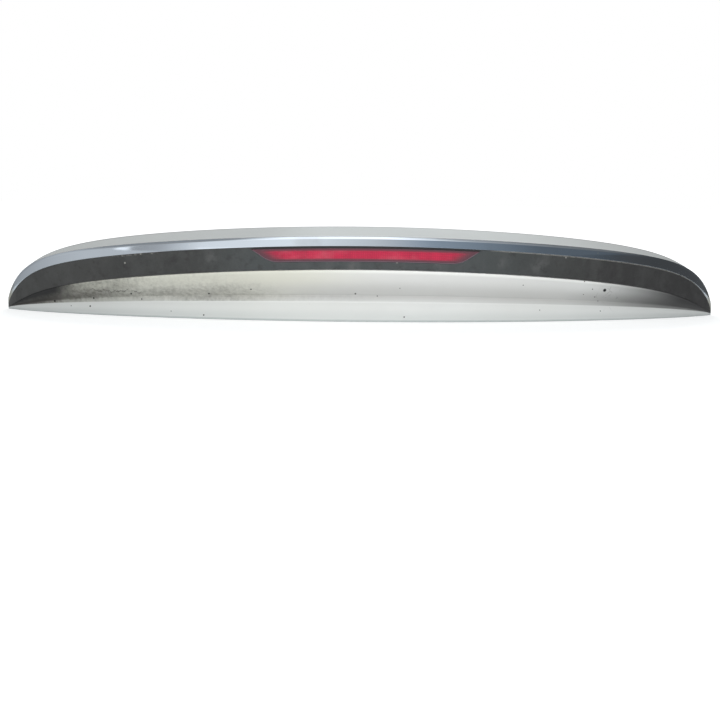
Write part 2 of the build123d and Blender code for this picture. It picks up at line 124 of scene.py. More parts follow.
def smooth(value, low, high):
    # 0 at low and 1 at high, or the reverse, by 3 t^2 - 2 t^3
    t = np.clip((value - low) / (high - low), 0, 1)
    return t * t * (3 - 2 * t)


def at(y, z):
    # the corner (y, z) in every cut
    return np.stack(np.broadcast_arrays(y, z), -1)


def bandAt(s, down, depth):
    # straight from the lip line to the low line, down millimetres of the band's full height
    share = down / rowTurns["band"][0]
    return at(s.lipY + (s.lowY - s.lipY) * share + depth, s.lipZ + (s.lowZ - s.lipZ) * share)


def bowed(a, b, out, count):
    # points between a and b on a parabola that stands off their line by out in the middle
    share = np.linspace(0, 1, count + 2)[1:-1, None, None]
    along = b - a
    long = np.maximum(np.linalg.norm(along, axis=-1, keepdims=True), tiny)
    off = np.stack([along[:, 1], -along[:, 0]], -1) / long
    return a + along * share + off * (4 * np.asarray(out)[:, None]) * share * (1 - share)


def roundOff(corners, steps=5, most=0.45):
    # each corner (point, cut) is cut back along both of its sides, by most of a side's length at the
    # largest, and bridged by a parabola: p(t) = (1 - t)^2 * before + 2 t (1 - t) * corner + t^2 * after
    points = np.array([corner for corner, cut in corners])
    t = np.linspace(0, 1, steps)[:, None, None]
    loop = []
    for n, (corner, cut) in enumerate(corners):
        if cut == 0:
            loop.append(corner[None])
            continue
        ends = []
        for side in (points[n - 1], points[(n + 1) % len(points)]):
            long = np.maximum(np.linalg.norm(side - corner, axis=-1, keepdims=True), tiny)
            ends.append(corner + (side - corner) / long * np.minimum(cut, most * long))
        loop.append((1 - t) ** 2 * ends[0] + 2 * t * (1 - t) * corner + t**2 * ends[1])
    return np.concatenate(loop)


def plainCorners(points):
    # corners that stay as they are
    return [(point, 0) for point in points]


def gridFaces(rows, columns, closed=False):
    # quads between neighbouring rows and columns of a grid of rows * columns points
    steps = columns if closed else columns - 1
    i, j = np.meshgrid(np.arange(rows - 1), np.arange(steps), indexing="ij")
    a = (i * columns + j).ravel()
    b = (i * columns + (j + 1) % columns).ravel()
    return np.stack([a, b, b + columns, a + columns], -1)


def carried(xs, loop):
    # a closed outline carried along x: point (i, j) is outline point j in the cut at xs[i]
    middle = loop[:, len(xs) // 2]
    area = np.sum(middle[:, 0] * np.roll(middle[:, 1], -1) - np.roll(middle[:, 0], -1) * middle[:, 1])
    if area < 0:
        loop = loop[::-1]
    around = len(loop)
    points = np.empty((len(xs), around, 3))
    points[:, :, 0] = xs[:, None]
    points[:, :, 1:] = loop.transpose(1, 0, 2)
    return points.reshape(-1, 3), gridFaces(len(xs), around, closed=True)


def joined(parts):
    # several (points, faces) as one, each part's faces counted on from the points before it
    starts = np.cumsum([0] + [len(points) for points, faces in parts])
    allFaces = [faces + start for (points, faces), start in zip(parts, starts)]
    return np.concatenate([points for points, faces in parts]), np.concatenate(allFaces)


def makePiece(name, points, faces, material, replaced=(), values=None):
    # points in millimetres become a mesh at the origin, doubles merged and shaded smooth up to an angle
    mesh = bpy.data.meshes.new(name)
    mesh.from_pydata((points * mm).tolist(), [], faces.tolist())
    for key, value in (values or {}).items():
        mesh.attributes.new(key, "FLOAT", "POINT").data.foreach_set("value", value.astype(np.float32))
    piece = bpy.data.objects.new(name, mesh)
    bpy.context.scene.collection.objects.link(piece)
    merged = bmesh.new()
    merged.from_mesh(mesh)
    bmesh.ops.remove_doubles(merged, verts=merged.verts, dist=mergeWithin * mm)
    merged.to_mesh(mesh)
    merged.free()
    mesh.shade_smooth()
    mesh.set_sharp_from_angle(angle=math.radians(sharpAngle))
    mesh.materials.append(material)
    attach(piece, "root")
    if replaced:
        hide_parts(*replaced)
    return piece


def addNode(tree, kind, inputs=None, **settings):
    # a new node with its settings; an input may be a value or another node's socket
    node = tree.nodes.new(kind)
    for key, value in settings.items():
        setattr(node, key, value)
    for key, value in (inputs or {}).items():
        if isinstance(value, bpy.types.NodeSocket):
            tree.links.new(value, node.inputs[key])
        else:
            node.inputs[key].default_value = value
    return node


def attribute(tree, name):
    # the mesh's own value at each point
    return addNode(tree, "ShaderNodeAttribute", attribute_name=name).outputs["Fac"]


def calc(tree, operation, *terms, clamp=False):
    # one step of arithmetic on sockets or numbers
    inputs = dict(enumerate(terms))
    return addNode(tree, "ShaderNodeMath", inputs, operation=operation, use_clamp=clamp).outputs[0]


def times(tree, first, *others):
    # the product of sockets and numbers
    for other in others:
        first = calc(tree, "MULTIPLY", first, other)
    return first


def fade(tree, value, low, high, unit=1.0):
    # 0 below low and 1 above high, or the reverse, with a smooth step between
    inputs = {"Value": value, "From Min": low * unit, "From Max": high * unit}
    return addNode(tree, "ShaderNodeMapRange", inputs, interpolation_type="SMOOTHSTEP").outputs[0]


def within(tree, value, limits, unit=1.0):
    # 1 between the two middle limits, falling smoothly to 0 at the outer two
    start, full, last, stop = limits
    return times(tree, fade(tree, value, start, full, unit), fade(tree, value, stop, last, unit))


def tint(tree, share, first, second, mode="MIX"):
    # first where share is 0 and second where it is 1
    inputs = {0: share, 6: first, 7: second}
    return addNode(tree, "ShaderNodeMix", inputs, data_type="RGBA", blend_type=mode).outputs[2]


def cloud(tree, vector, scale, detail=2.0, rough=0.5):
    # fractal noise
    inputs = {"Vector": vector, "Scale": scale, "Detail": detail, "Roughness": rough}
    return addNode(tree, "ShaderNodeTexNoise", inputs).outputs[0]


def stretched(tree, vector, x, y, z):
    # coordinates times one number along each axis
    return addNode(tree, "ShaderNodeMapping", {"Vector": vector, "Scale": (x, y, z)}).outputs[0]


def bumped(tree, height, strength, reach):
    # normals that follow a height
    inputs = {"Height": height, "Strength": strength, "Distance": reach}
    return addNode(tree, "ShaderNodeBump", inputs).outputs[0]


def startMaterial(name, **settings):
    # a material with its own coordinates; plain numbers go straight to the shader's sockets
    material = bpy.data.materials.new(name)
    material.use_nodes = True
    tree = material.node_tree
    shader = tree.nodes["Principled BSDF"]
    for key, value in settings.items():
        shader.inputs[key.replace("_", " ")].default_value = value
    place = addNode(tree, "ShaderNodeTexCoord").outputs["Object"]
    x, y, z = addNode(tree, "ShaderNodeSeparateXYZ", {0: place}).outputs[:3]
    return SimpleNamespace(material=material, tree=tree, shader=shader, place=place, x=x, y=y, z=z)


def plug(m, **sockets):
    # sockets linked to the shader's inputs
    for key, socket in sockets.items():
        m.tree.links.new(socket, m.shader.inputs[key.replace("_", " ")])


def spots(m, marks, soft=0.4):
    # 1 inside round marks (x, z, radius) in millimetres, seen from behind
    flat = addNode(m.tree, "ShaderNodeCombineXYZ", {"X": m.x, "Z": m.z}).outputs[0]
    found = 0.0
    for x, z, radius in marks:
        inputs = {0: flat, 1: (x * mm, 0, z * mm)}
        far = addNode(m.tree, "ShaderNodeVectorMath", inputs, operation="DISTANCE").outputs["Value"]
        found = calc(m.tree, "MAXIMUM", found, fade(m.tree, far, radius, radius * soft, mm))
    return found


# white body paint: colours, among them a painted highlight and painted shades, then the places of its marks
# in millimetres
paint = dict(
    white=(0.775, 0.783, 0.772, 1), dusty=(0.65, 0.645, 0.62, 1), clean=(0.95, 0.955, 0.935, 1),
    film=(0.27, 0.265, 0.26, 1), cool=(0.25, 0.30, 0.30, 1), cream=(0.74, 0.735, 0.62, 1),
    grime=(0.095, 0.088, 0.078, 1), shade=(0.013, 0.013, 0.014, 1), speck=(0.012, 0.012, 0.012, 1),
    farDust=(46, 70), farSides=(600, 520),
    hairX=(-490, -470, -400, -375), hairSwing=34.0, hairDrop=33.7, hairHalf=(1.2, 0.4),
    cracked=[(434, -19, 34)],
    specks=[
        (424, -6.5, 3.6), (-408, -21, 1.9), (-270, -17.7, 1.9), (-196, -7.8, 1.6), (-16, -13.8, 1.9),
        (-278, -53.7, 1.6), (68, -51.8, 1.5), (-478, -32, 2.0), (-484, -46, 1.8), (-390, -30.7, 1.5),
        (-552, -40.3, 2.4), (22, -17.8, 1.2), (60, -2.4, 1.0), (274, 4, 1.1), (384, 10, 1.2),
        (401, -4.3, 1.2), (420, -44.4, 1.1), (308, -41.3, 1.0), (-336, -49, 1.0), (-520, -47, 1.0),
        (408, -19, 1.2), (386, -14, 1.0), (416, -27, 1.1),
    ],
)


def thinLines(m, d):
    # a wavering hairline on the wall at the left, and short cracks along cell edges at the right
    t = m.tree
    wave = times(t, cloud(t, stretched(t, m.place, 1.0, 0.0, 0.0), 55.0, 4.0, 0.7), d.hairSwing * mm)
    height = calc(t, "SUBTRACT", wave, d.hairDrop * mm)
    away = calc(t, "ABSOLUTE", calc(t, "SUBTRACT", m.z, height))
    broken = fade(t, cloud(t, m.place, 70.0, 2.0), 0.34, 0.46)
    hair = times(t, fade(t, away, *d.hairHalf, mm), within(t, m.x, d.hairX, mm), broken)
    inputs = {"Vector": m.place, "Scale": 48.0}
    cells = addNode(t, "ShaderNodeTexVoronoi", inputs, feature="DISTANCE_TO_EDGE").outputs["Distance"]
    parted = fade(t, cloud(t, m.place, 60.0, 2.0), 0.50, 0.62)
    crack = times(t, fade(t, cells, 0.035, 0.012), spots(m, d.cracked, 0.3), parted)
    return calc(t, "MAXIMUM", times(t, hair, 0.6), times(t, crack, 0.28))


def makePaint():
    # flat white with slow clouds, then a painted highlight, painted shade, cream stains, end grime mixed with
    # painted shade, hairlines, grit and specks laid over it in turn
    d = SimpleNamespace(**paint)
    m = startMaterial("bodyPaint", Coat_Weight=0.12, Coat_Roughness=0.1, Specular_IOR_Level=0.25)
    t = m.tree
    names = ("crest", "film", "foot", "cream", "grime", "shade", "rear")
    crest, film, foot, cream, grime, shade, rear = (attribute(t, name) for name in names)
    slow = fade(t, cloud(t, m.place, 5.0, 3.0), 0.35, 0.75)
    colour = tint(t, times(t, slow, 0.2), d.white, d.dusty)
    # painted highlight along the top rim of the wall under the band
    colour = tint(t, crest, colour, d.clean)
    # painted shade along the far edge of the top
    farSides = fade(t, calc(t, "ABSOLUTE", m.x), *d.farSides, mm)
    colour = tint(t, times(t, fade(t, m.y, *d.farDust, mm), farSides, 0.8), colour, d.film)
    # painted shade on the riser, low on the wall and towards the top's tips
    colour = tint(t, film, colour, d.film)
    # painted shade, darker and cooler towards the foot's bottom edge
    colour = tint(t, foot, colour, d.cool)
    colour = tint(t, cream, colour, d.cream)
    # warm grime mixed with painted shade in the recess towards the left tip, most uneven where it is half
    # covered
    patch = fade(t, cloud(t, stretched(t, m.place, 1.0, 1.0, 2.0), 20.0, 7.0, 0.68), 0.3, 0.7)
    fine = fade(t, cloud(t, m.place, 140.0, 4.0, 0.7), 0.3, 0.75)
    uneven = calc(t, "ADD", patch, times(t, fine, 1.4))
    halfCovered = times(t, grime, calc(t, "SUBTRACT", 1.0, grime))
    swing = times(t, halfCovered, calc(t, "SUBTRACT", uneven, 1.2))
    mottled = calc(t, "ADD", grime, swing, clamp=True)
    colour = tint(t, mottled, colour, d.grime)
    # painted shade, near black, deep in the recess at the left tip and towards the right tip
    colour = tint(t, shade, colour, d.shade)
    colour = tint(t, times(t, thinLines(m, d), rear), colour, d.speck)
    # fine scattered grit, thicker where there is grime and painted shade, and the larger listed specks
    grit = addNode(t, "ShaderNodeTexVoronoi", {"Vector": m.place, "Scale": 75.0}).outputs
    pick = fade(t, calc(t, "ADD", grit["Color"], times(t, grime, 0.2)), 0.87, 0.91)
    dots = times(t, fade(t, grit["Distance"], 0.10, 0.04), pick, rear, 0.6)
    colour = tint(t, dots, colour, d.grime)
    colour = tint(t, times(t, spots(m, d.specks, 0.6), rear), colour, d.speck)
    rough = calc(t, "ADD", times(t, mottled, 0.35), 0.36)
    peel = bumped(t, cloud(t, m.place, 420.0, 1.0), 0.03, 0.0004)
    plug(m, Base_Color=colour, Roughness=rough, Normal=peel)
    return m.material


bodyPaint = makePaint()

# painted top shell
topShell = dict(
    cuts=301, crownPoints=11, backCut=0.9, frontCut=4.0, seamCut=0.6, innerCut=2.0,
    flangeTall=12.4, lampHalf=235.0, lampRise=3.5,
    hazeRight=(0.38, 200, 560), hazeLeft=(0.30, 60, 200), dustFront=(73.5, 68.0),
)


def makeTopShell():
    # crowned skin, front flange and rear flange as one thin closed outline, carried from tip to tip
    d = SimpleNamespace(**topShell)
    xs = spread(d.cuts)
    s = levels(xs)
    flange = np.where(np.abs(xs) < d.lampHalf, -d.lampRise, d.flangeTall)
    inside = s.land + s.skin
    back, front = at(s.edgeY + s.land, s.edgeZ), at(s.frontY, s.frontZ)
    backIn = at(s.edgeY + s.land + s.skin, s.edgeZ - s.skin)
    frontIn = at(s.frontY - s.skin, s.frontZ - s.skin)
    loop = [(back, d.backCut)] + plainCorners(bowed(back, front, -s.crown, d.crownPoints))
    loop += [(front, d.frontCut), (at(s.frontY, s.seamZ), d.seamCut)]
    loop += [(at(s.frontY - s.skin, s.seamZ), d.seamCut), (frontIn, d.innerCut)]
    loop += plainCorners(bowed(frontIn, backIn, s.crown, d.crownPoints))
    loop += plainCorners([backIn, bandAt(s, -d.lampRise, inside), bandAt(s, flange, inside)])
    loop += plainCorners([bandAt(s, flange, s.land), bandAt(s, -d.lampRise, s.land)])
    points, faces = carried(xs, roundOff(loop))
    # painted shade, darker towards both tips, fading out just short of the front edge
    x, y = points.T[:2]
    endShades = ((1, d.hazeRight), (-1, d.hazeLeft))
    film = sum(share * smooth(way * x, *turn) for way, (share, *turn) in endShades)
    values = dict(film=film * smooth(y, *d.dustFront))
    return makePiece("topShell", points, faces, bodyPaint, ["upper_shell"], values=values)


makeTopShell()
print("top shell made")

# painted lower shell
lowerShell = dict(
    cuts=301, wallPoints=15, footPoints=7, footCrown=0.9, toeCut=1.4, shelfCut=1.6, riserCut=2.2, rimCut=3.2,
    underCut=2.0, heelCut=1.0, footInCut=0.8, lowFlangeTall=9.0,
)

# dirt and painted light on the lower shell: (share, start, stop) by zone, in millimetres from the middle
# towards one tip, then the limits of the zones as shares of their rows and of the outside in millimetres. The
# cream stains are dirt, the darkening towards the left tip is grime mixed with painted shade, the near black
# deep in the recess at both tips, the soft darkening of the riser and low wall and the cooler darkening
# towards the foot's bottom edge are painted shade, and the lightening along the wall's top rim is a painted
# highlight
dirtAndShade = dict(
    cream=dict(riser=(0.30, 60, 200), low=(0.45, 20, 220), high=(0.70, -60, 160)),
    haze=dict(riser=(0.20, -80, 160), low=(0.38, 110, 260), high=(0.11, 150, 300)),
    grime=dict(riser=(0.72, 430, 620), low=(0.61, 326, 590), high=(0.58, 330, 530)),
    tip=dict(riser=(0.55, 540, 620), low=(0.70, 500, 585), high=(1.00, 495, 552)),
    shade=dict(riser=(0.60, 345, 570), low=(0.93, 322, 584), high=(0.98, 370, 590)),
    patch=dict(riser=(0.36, -100, -8)), patchX=-262,
    film=dict(riser=0.55, low=0.27), foot=(0.26, 0.25, 0.8), toe=(0.5, 0.9, 0.98), crest=(0.86, 0.95),
    riserUp=(-0.1, 0.1), highUp=(0.1, 0.75), raisedUp=(0.0, 0.25), leastRow=0.5, leastRiser=0.3,
    behind=1.5, rearDeep=(1.8, 0.9),
)


def soilingAndShade(points):
    # shares of dirt, painted shade and painted highlight on the outside of the shell: the smooth step of the
    # distance from the middle, weighted by how much of the spot lies on the riser, low on the wall or high
    # under the band
    d = SimpleNamespace(**dirtAndShade)
    x, y, z = points.T
    s = levels(x)
    up = (z - s.riserZ) / np.maximum(s.lowZ - s.riserZ, d.leastRow)
    down = (s.shelfZ - z) / np.maximum(s.shelfZ - s.footZ, d.leastRow)
    raised = (z - s.shelfZ) / np.maximum(s.riserZ - s.shelfZ, d.leastRiser)
    outside = np.clip((s.recessY + d.behind - y) / d.behind, 0, 1) * smooth(raised, *d.raisedUp)
    high, riser = smooth(up, *d.highUp), 1 - smooth(up, *d.riserUp)
    zones = dict(riser=riser, low=(1 - riser) * (1 - high), high=(1 - riser) * high)
    # straight lines through the outer corners part the outside from the inside
    skinY = s.recessY + (s.lowY - s.recessY) * np.clip(up, 0, 1)
    skinY += (s.footY - s.recessY) * np.clip(down, 0, 1)

    def spreadOut(turns, far):
        # the sum over the zones of zone * share * smooth step of far
        found = [zones[name] * share * smooth(far, *turn) for name, (share, *turn) in turns.items()]
        return outside * np.clip(sum(found), 0, 1)

    # grime mixed with painted shade, most towards the left tip
    grime = spreadOut(d.haze, -x) + spreadOut(d.grime, -x) + spreadOut(d.patch, -np.abs(x - d.patchX))
    return dict(
        # painted highlight along the wall's top rim
        crest=outside * smooth(up, *d.crest),
        # painted shade on the riser and low on the wall
        film=outside * sum(zones[name] * share for name, share in d.film.items()),
        # painted shade towards the foot's bottom edge
        foot=d.foot[0] * smooth(down, *d.foot[1:]) + d.toe[0] * smooth(down, *d.toe[1:]),
        cream=spreadOut(d.cream, -x),
        grime=np.clip(grime, 0, 1),
        # painted shade deep in the recess at the left tip and towards the right tip
        shade=spreadOut(d.tip, -x) + spreadOut(d.shade, x),
        rear=smooth(y - skinY, *d.rearDeep),
    )


def makeLowerShell():
    # foot, riser, bulged wall and sloping floor as one thin closed outline, carried from tip to tip
    d = SimpleNamespace(**lowerShell)
    xs = spread(d.cuts)
    s = levels(xs)
    flangeTop = rowTurns["band"][0] - d.lowFlangeTall
    shelf, riserTop = at(s.recessY, s.shelfZ), at(s.recessY, s.riserZ)
    rim = at(s.lowY, s.lowZ - 0.5 * s.gap)
    rimIn = at(s.lowY + s.land + s.skin, s.lowZ)
    frontY = s.frontY - s.skin - s.gap
    floorBack = at(s.recessY + s.foot, s.riserZ + crescent["floorLift"] * s.thin)
    underBack = at(s.recessY + s.foot, s.shelfZ + crescent["floorShare"] * (s.riserZ - s.shelfZ))
    heel = at(s.recessY + s.foot, s.footZ + crescent["heelShare"] * (s.shelfZ - s.footZ))
    toe, toeIn = at(s.footY, s.footZ), at(s.footY + s.foot, s.footZ)
    loop = [(toe, d.toeCut)] + plainCorners(bowed(toe, shelf, -d.footCrown * s.thin, d.footPoints))
    loop += [(shelf, d.shelfCut), (riserTop, d.riserCut)]
    loop += plainCorners(bowed(riserTop, rim, -s.bulge, d.wallPoints))
    loop += [(rim, d.rimCut), (at(s.lowY + s.land, s.lowZ - 0.5 * s.gap), 0)]
    loop += plainCorners([bandAt(s, flangeTop, s.land), bandAt(s, flangeTop, s.land + s.skin), rimIn])
    loop += plainCorners(bowed(rimIn, floorBack, s.bulge, d.wallPoints))
    loop += plainCorners([floorBack, at(frontY, s.seamZ + s.skin), at(frontY, s.seamZ)])
    loop += [(underBack, d.underCut), (heel, d.heelCut), (toeIn, d.footInCut)]
    points, faces = carried(xs, roundOff(loop))
    values = soilingAndShade(points)
    return makePiece("lowerShell", points, faces, bodyPaint, ["lower_shell"], values=values)


makeLowerShell()
print("lower shell made")

# polished trailing-edge strip
edgeStrip = dict(
    cuts=321, creaseDrop=3.6, creaseOut=1.3, creaseCut=2.6, topCut=0.5, lowCut=0.3, innerCut=0.4, cutSteps=9,
    belly=0.12, bellyPoints=9, metal=(0.455, 0.505, 0.56, 1), dull=(0.30, 0.31, 0.32, 1),
    chip=(0.62, 0.61, 0.57, 1), chips=[(406, 59.7, 1.6), (-300, 68, 0.8)],
    tipDust=(0.22, 0.22, 0.19, 1), tipX=(628, 643),
)


def makeStripFinish():
    # dark chrome with faint wiping marks; the roughness follows fine streaks along x
    d = SimpleNamespace(**edgeStrip)
    m = startMaterial("edgeGloss", Metallic=1.0, Coat_Weight=0.3, Coat_Roughness=0.04)
    t = m.tree
    streak = cloud(t, stretched(t, m.place, 6.0, 40.0, 160.0), 4.0, 4.0, 0.6)
    dull = fade(t, cloud(t, m.place, 14.0, 4.0), 0.55, 0.8)
    colour = tint(t, times(t, dull, 0.35), d.metal, d.dull)
    colour = tint(t, spots(m, d.chips), colour, d.chip)
    # painted reflection, a duller olive grey towards both tips
    colour = tint(t, fade(t, calc(t, "ABSOLUTE", m.x), *d.tipX, mm), colour, d.tipDust)
    rough = calc(t, "ADD", 0.06, times(t, fade(t, streak, 0.4, 0.8), 0.07))
    plug(m, Base_Color=colour, Roughness=rough)
    return m.material


edgeGloss = makeStripFinish()


def makeEdgeStrip():
    # five-cornered outline with a rounded crease and a slight belly under it, carried from tip to tip
    d = SimpleNamespace(**edgeStrip)
    xs = spread(d.cuts)
    s = levels(xs)
    share = d.creaseDrop / rowTurns["edge"][0]
    creaseY = s.edgeY + (s.lipY - s.edgeY) * share - d.creaseOut * s.thin
    crease = at(creaseY, s.edgeZ + (s.lipZ - s.edgeZ) * share)
    lowZ = s.lipZ + 0.5 * s.gap
    low = at(s.lipY, lowZ)
    loop = [(at(s.edgeY, s.edgeZ), d.topCut), (crease, d.creaseCut)]
    loop += plainCorners(bowed(crease, low, d.belly * s.thin, d.bellyPoints)) + [(low, d.lowCut)]
    loop += [(at(s.lipY + s.trim, lowZ), d.innerCut), (at(s.edgeY + s.trim, s.edgeZ), d.innerCut)]
    points, faces = carried(xs, roundOff(loop, d.cutSteps))
    return makePiece("edgeStrip", points, faces, edgeGloss, ["edge_strip"])


makeEdgeStrip()
print("edge strip made")

# brake light outline in millimetres along x and down the band
lamp = dict(drop=3.2, tall=23.0, halfTop=194.0, halfLow=162.0, corner=50.0, gap=0.5, thick=3.0)


def lampHalf(down, grow=0.0):
    # half width at so many mm down: a slanted line, then the arc that touches it and the bottom
    d = SimpleNamespace(**lamp)
    slant = (d.halfTop - d.halfLow) / d.tall
    turn = math.atan2(1.0, slant)
    low, corner = d.drop + d.tall + grow, d.corner + grow
    side = d.halfTop + grow - slant * (down - d.drop)
    touch = corner * math.tan(0.5 * turn)
    foot = d.halfTop + grow - slant * (low - d.drop)
    middle = low - corner
    arc = foot - touch + np.sqrt(np.maximum(corner**2 - np.maximum(down - middle, 0) ** 2, 0))
    return np.where(down > low - touch * math.sin(turn), arc, side)


# grained rear band with the opening for the brake light; places along x and down the band in millimetres
rearBand = dict(
    rows=25, wingCuts=150, ringHalf=262.0, ringRows=9, ringEase=1.3, topCuts=97,
    grey=(0.042, 0.043, 0.0425, 1), endGrey=(0.056, 0.056, 0.055, 1), cool=(0.066, 0.076, 0.079, 1),
    worn=(0.105, 0.107, 0.106, 1), dark=(0.020, 0.016, 0.018, 1), pale=(0.47, 0.46, 0.42, 1),
    endX=(-400, -480), middleX=(-310, -170, 160, 380), darkX=(350, 460),
    soiledDown=(3.4, 2.6), soiledX=(200, 186), chippedDown=(1.9, 0.9), chippedX=(205, 235),
    scuffedDown=(3.4, 1.2), scuffedX=(-452, -435, -370, -350),
    nicks=[(-415, 33.9, 2.0), (347, 52.3, 1.6), (53, 44.2, 2.6), (-404, 50.5, 1.0)],
    rubs=[
        (300, 42, 26), (-60, 36, 22), (-15, 37, 26), (-262, 45, 18),
        (118, 40, 20), (230, 40, 16), (60, 38, 18),
    ],
)


def makeBandFinish():
    # dark moulded grain, cooler in the middle and darker at the right as painted shade, wiped smudges in
    # patches, a painted shadow line over the lamp, a chipped pale line along the top edge at the right,
    # scuffs at the left and nicks
    d = SimpleNamespace(**rearBand)
    m = startMaterial("bandGrain", Specular_IOR_Level=0.3)
    t = m.tree
    down = attribute(t, "bandDown")
    grain = cloud(t, m.place, 900.0, 3.0, 0.6)
    smear = fade(t, cloud(t, stretched(t, m.place, 1.0, 1.0, 0.7), 34.0, 6.0, 0.66), 0.40, 0.72)
    colour = tint(t, fade(t, m.x, *d.endX, mm), d.grey, d.endGrey)
    colour = tint(t, times(t, within(t, m.x, d.middleX, mm), 0.62), colour, d.cool)
    # painted shade, darker towards the right end
    colour = tint(t, times(t, fade(t, m.x, *d.darkX, mm), 0.33), colour, d.dark)
    colour = tint(t, times(t, spots(m, d.rubs, 0.2), smear, 0.75), colour, d.worn)
    colour = tint(t, times(t, smear, 0.22), colour, d.worn)
    colour = tint(t, times(t, fade(t, grain, 0.45, 0.7), 0.2), colour, d.worn)
    dirty = fade(t, cloud(t, m.place, 60.0, 4.0, 0.6), 0.52, 0.72)
    colour = tint(t, times(t, dirty, 0.4), colour, d.dark)
    # painted shadow in a line over the lamp, under the strip's edge
    overLamp = fade(t, calc(t, "ABSOLUTE", m.x), *d.soiledX, mm)
    colour = tint(t, times(t, fade(t, down, *d.soiledDown), overLamp, 0.85), colour, d.dark)
    broken = fade(t, cloud(t, stretched(t, m.place, 1.0, 0.0, 0.0), 160.0, 3.0, 0.7), 0.36, 0.5)
    chipped = times(t, fade(t, down, *d.chippedDown), fade(t, m.x, *d.chippedX, mm), broken, 0.42)
    flecks = fade(t, cloud(t, m.place, 180.0, 4.0, 0.7), 0.5, 0.6)
    scuffed = times(t, fade(t, down, *d.scuffedDown), within(t, m.x, d.scuffedX, mm), flecks, 0.7)
    pale = calc(t, "MAXIMUM", chipped, scuffed)
    pale = calc(t, "MAXIMUM", pale, times(t, spots(m, d.nicks), 0.75))
    colour = tint(t, pale, colour, d.pale)
    rough = calc(t, "SUBTRACT", 0.6, times(t, smear, 0.14))
    plug(m, Base_Color=colour, Roughness=rough, Normal=bumped(t, grain, 0.25, 0.0003))
    return m.material


bandGrain = makeBandFinish()


def onBand(x, down, depth):
    # a point of the band from its x, its millimetres down and its share of the wall's depth
    s = levels(x)
    spot = bandAt(s, down, depth * s.trim)
    return np.stack([x, spot[..., 0], spot[..., 1]], -1)


def lampRing(d, rows):
    # a patch from the opening's outline to a rectangle, p = inner + (outer - inner) * r, on both faces of
    # the band, joined round the opening and along the rectangle's top and low edges
    top, low = lamp["drop"] - lamp["gap"], lamp["drop"] + lamp["tall"] + lamp["gap"]
    across = np.linspace(-1, 1, d.topCuts)
    ease = np.linspace(0, 1, d.rows)
    fall = top + (low - top) * np.sin(0.5 * math.pi * ease)
    half = lampHalf(fall, lamp["gap"])

    def sides(topX, topDown, sideX, sideDown, lowX, lowDown):
        # the four sides in turn, each without its last point
        x = [topX[:-1], sideX[:-1], lowX[:-1], -sideX[::-1][:-1]]
        down = [topDown[:-1], sideDown[:-1], lowDown[:-1], sideDown[::-1][:-1]]
        return np.concatenate(x), np.concatenate(down)

    flat = np.ones(d.topCuts)
    innerX, innerDown = sides(across * half[0], flat * top, half, fall, -across * half[-1], flat * low)
    side, wide = np.full(d.rows, d.ringHalf), across * d.ringHalf
    outerX, outerDown = sides(wide, flat * rows[0], side, rows, -wide, flat * rows[-1])
    r = (np.linspace(0, 1, d.ringRows) ** d.ringEase)[:, None]
    ringX, ringDown = innerX + (outerX - innerX) * r, innerDown + (outerDown - innerDown) * r
    front, behind = onBand(ringX, ringDown, 0.0), onBand(ringX, ringDown, 1.0)
    points = np.concatenate([front.reshape(-1, 3), behind.reshape(-1, 3)])
    around = len(innerX)
    count = d.ringRows * around
    frontFaces = gridFaces(d.ringRows, around, closed=True)
    j = np.arange(around)
    ahead = (j + 1) % around
    mouth = np.stack([j, j + count, ahead + count, ahead], -1)
    topRun = np.arange(d.topCuts - 1)
    level = np.concatenate([topRun, topRun + d.topCuts + d.rows - 2])
    a, b = level + count - around, (level + 1) % around + count - around
    edges = np.stack([a, b, b + count, a + count], -1)
    return points, np.concatenate([frontFaces, frontFaces[:, ::-1] + count, mouth, edges])


def makeRearBand():
    # the ring patch round the opening, and two wings of straight rows that run on from it to the tips
    d = SimpleNamespace(**rearBand)
    rim = 0.5 * crescent["trimGap"]
    rows = np.linspace(rim, rowTurns["band"][0] - rim, d.rows)
    parts = [lampRing(d, rows)]
    for way in (-1, 1):
        xs = way * spread(d.wingCuts, d.ringHalf, xEnd)
        s = levels(xs)
        loop = [bandAt(s, down, 0 * s.trim) for down in rows]
        loop += [bandAt(s, down, s.trim) for down in rows[::-1]]
        parts.append(carried(xs[::way], np.array(loop)[:, ::way]))
    points, faces = joined(parts)
    values = dict(bandDown=levels(points[:, 0]).lipZ - points[:, 2])
    return makePiece("rearBand", points, faces, bandGrain, ["rear_band"], values=values)


makeRearBand()
print("rear band made")

# red smoked lens; lengths down the lens, in from its ends and in from its rim in millimetres
lens = dict(
    rows=41, columns=281, rimPoints=400, flatPoints=200, prism=3.7, bay=13.9,
    cellShare=0.42, blockShare=0.40, bayShare=0.22, veilShare=0.42,
    topFade=(1.4, 6.8), lowFade=(20.4, 15.6), endFade=(3.0, 40.0),
    edgeDown=(0.8, 0.1), rimIn=(1.5, 0.6), rimTop=(0.8, 2.4),
    red=(0.60, 0.0185, 0.070, 1), deep=(0.36, 0.011, 0.044, 1), smoke=(0.105, 0.040, 0.055, 1),
    veil=(0.56, 0.105, 0.145, 1), rimPale=(0.17, 0.115, 0.14, 1), edgeDark=(0.022, 0.012, 0.016, 1),
)


